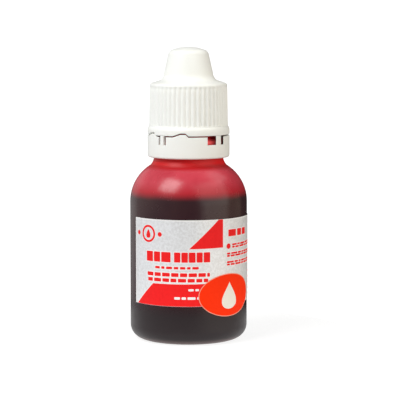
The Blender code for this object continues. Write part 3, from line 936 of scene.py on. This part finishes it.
def make_label():
    film = LABEL_RADIUS
    start, end = (film * math.radians(turn) for turn in (LABEL_START, LABEL_END))
    sheet = [(start, LABEL_FOOT), (end, LABEL_FOOT), (end, LABEL_TOP), (start, LABEL_TOP)]
    label = wrap_film("label_film", [sheet], film, FILM, paint_label_film())
    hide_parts("label")
    white = paint_print("white_print", (0.86, 0.85, 0.84), (0.80, 0.79, 0.78))
    red = paint_print("red_print", (0.86, 0.019, 0.020), (0.74, 0.014, 0.015))
    edge = 0.3
    left, right = start / MM, end / MM
    low, high = LABEL_FOOT / MM, LABEL_TOP / MM
    top_line = ((left, high - edge), (right, high - edge), (right, high), (left, high))
    side_line = ((left, low), (left + edge, low), (left + edge, high - edge), (left, high - edge))
    keylines = [in_metres(top_line), in_metres(side_line)]
    margin = 0.2
    for points in RED_SHAPES.values():
        keylines.append(in_metres(clipped(grown(points, margin))))
    for x, end_x, z, end_z in red_bars():
        keylines.append(bar(x - margin, end_x + margin, z - margin, end_z + margin))
    keylines += emblem(0.12)
    reds = [in_metres(points) for points in RED_SHAPES.values()]
    reds += [bar(*given) for given in red_bars()]
    reds += [in_metres(oval((12.2, 27.6), 0.75, 0.75, 24))]
    reds += emblem()
    lines = dashes(0.0, 9.0, 15.6, 16.2, (1.5, 1.0, 1.8)) + dashes(-3.9, 9.0, 13.25, 13.95, (1.6, 1.2, 2.2))
    pieces = [label]
    layers = (("label_keylines", keylines, white, 1), ("label_print", reds, red, 2))
    layers += (("label_lines", [bar(*given) for given in lines], white, 3),)
    for name, outlines, material, layer in layers:
        pieces.append(wrap_film(name, outlines, film + layer * INK_FILM, INK_FILM, material))
    for piece in pieces:
        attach(piece, "bottle")


def make_sticker():
    """An oval of film over the label's lower edge, with a pale rim and a white drop."""
    middle = (STICKER_RADIUS * math.radians(STICKER_TURN), STICKER_CENTRE)
    rim = 0.2 * MM
    backing = paint_print("sticker_backing", (0.90, 0.36, 0.26), (0.85, 0.30, 0.20))
    orange = paint_print("sticker_orange", (0.96, 0.034, 0.003), (0.88, 0.024, 0.002), 0.3)
    white = paint_print("sticker_white", (0.83, 0.79, 0.70), (0.78, 0.73, 0.63))
    whole = oval(middle, STICKER_HALF_WIDTH, STICKER_HALF_HEIGHT)
    face = oval(middle, STICKER_HALF_WIDTH - rim, STICKER_HALF_HEIGHT - rim)
    mark = drop((middle[0] + 0.2 * MM, middle[1] - 0.1 * MM), 6.0 * MM, 7.6 * MM)
    sheets = (
        ("sticker_sheet", whole, STICKER_RADIUS, FILM, backing),
        ("sticker_face", face, STICKER_RADIUS + INK_FILM, INK_FILM, orange),
        ("sticker_mark", mark, STICKER_RADIUS + 2 * INK_FILM, INK_FILM, white),
    )
    for name, outline, radius, thickness, material in sheets:
        piece = wrap_film(name, [outline], radius, thickness, material, draped=True)
        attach(piece, "bottle")
        if name == "sticker_sheet":
            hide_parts("colour_sticker")


def make_floor():
    mesh = bmesh.new()
    bmesh.ops.create_circle(mesh, cap_ends=True, segments=96, radius=FLOOR_RADIUS)
    sweep = new_piece("floor", mesh, paint_floor())
    sweep.location.z = BOTTLE_LOW.z - 0.02 * MM


def area_light(name, location, size, power, colour=PLAIN_WHITE):
    """A soft light that faces the middle of the bottle. size is its side, or its width and height."""
    data = bpy.data.lights.new(name, "AREA")
    data.shape = "RECTANGLE"
    data.size, data.size_y = size if isinstance(size, tuple) else (size, size)
    data.energy = power
    data.color = colour
    light = bpy.data.objects.new(name, data)
    light.location = location
    aim = Vector((0.0, 0.0, CAP_TOP / 2)) - light.location
    light.rotation_mode = "QUATERNION"
    light.rotation_quaternion = aim.to_track_quat("-Z", "Y")
    bpy.context.scene.collection.objects.link(light)


def studio_brightness(tree):
    """How bright the studio is in a direction. Each side's brightness runs smoothly into the next."""
    place = tree.nodes.new("ShaderNodeTexCoord")
    split = tree.nodes.new("ShaderNodeSeparateXYZ")
    tree.links.new(place.outputs["Generated"], split.inputs[0])
    total = 0.0
    for axis, (ahead, behind) in STUDIO_SIDES.items():
        part = split.outputs[axis]
        square = node_maths(tree, "MULTIPLY", part, part)
        is_ahead = node_maths(tree, "GREATER_THAN", part)
        side = node_maths(tree, "MULTIPLY_ADD", is_ahead, ahead - behind, behind)
        total = node_maths(tree, "MULTIPLY_ADD", square, side, total)
    return total


def make_world():
    """A soft white studio, plain white where the camera looks straight at it."""
    world = bpy.data.worlds.new("studio")
    world.use_nodes = True
    bpy.context.scene.world = world
    tree = world.node_tree
    background = tree.nodes["Background"]
    tree.links.new(studio_brightness(tree), background.inputs["Strength"])
    background.inputs["Color"].default_value = (*PLAIN_WHITE, 1.0)
    seen = tree.nodes.new("ShaderNodeBackground")
    seen.inputs["Color"].default_value = (*PLAIN_WHITE, 1.0)
    seen.inputs["Strength"].default_value = BACKDROP_STRENGTH
    path = tree.nodes.new("ShaderNodeLightPath")
    mix = tree.nodes.new("ShaderNodeMixShader")
    tree.links.new(path.outputs["Is Camera Ray"], mix.inputs[0])
    tree.links.new(background.outputs[0], mix.inputs[1])
    tree.links.new(seen.outputs[0], mix.inputs[2])
    tree.links.new(mix.outputs[0], tree.nodes["World Output"].inputs["Surface"])


def make_lights():
    area_light("main_box", (-0.305, -0.27, 0.471), 0.34, MAIN_POWER)
    area_light("fill_box", (0.45, -0.33, 0.28), 0.75, FILL_POWER, FILL_TINT)
    area_light("low_side_box", (0.48, -0.11, -0.02), (1.0, 0.34), SIDE_POWER, SIDE_TINT)
    area_light("over_right_box", (0.37, 0.09, 0.53), 0.3, OVER_RIGHT_POWER)
    area_light("back_left_box", (-0.36, 0.45, 0.1), 0.4, BACK_LEFT_POWER)
    make_world()
    bpy.context.scene.view_settings.view_transform = "Standard"


def make_camera():
    data = bpy.data.cameras.new("camera")
    data.sensor_width = 36.0
    data.lens = CAMERA_LENS
    data.clip_start = 0.01
    data.clip_end = 10.0
    camera = bpy.data.objects.new("camera", data)
    camera.location = CAMERA_PLACE
    camera.rotation_euler = (math.radians(90.0 - CAMERA_DIP), 0.0, 0.0)
    bpy.context.scene.collection.objects.link(camera)
    bpy.context.scene.camera = camera


def main():
    white = paint_white_plastic()
    make_bottle(paint_wall())
    make_ink(paint_ink())
    make_nozzle(paint_natural_plastic())
    make_cap(white)
    make_seal_pin(white)
    make_band(white)
    make_label()
    make_sticker()
    make_floor()
    make_lights()
    make_camera()


main()
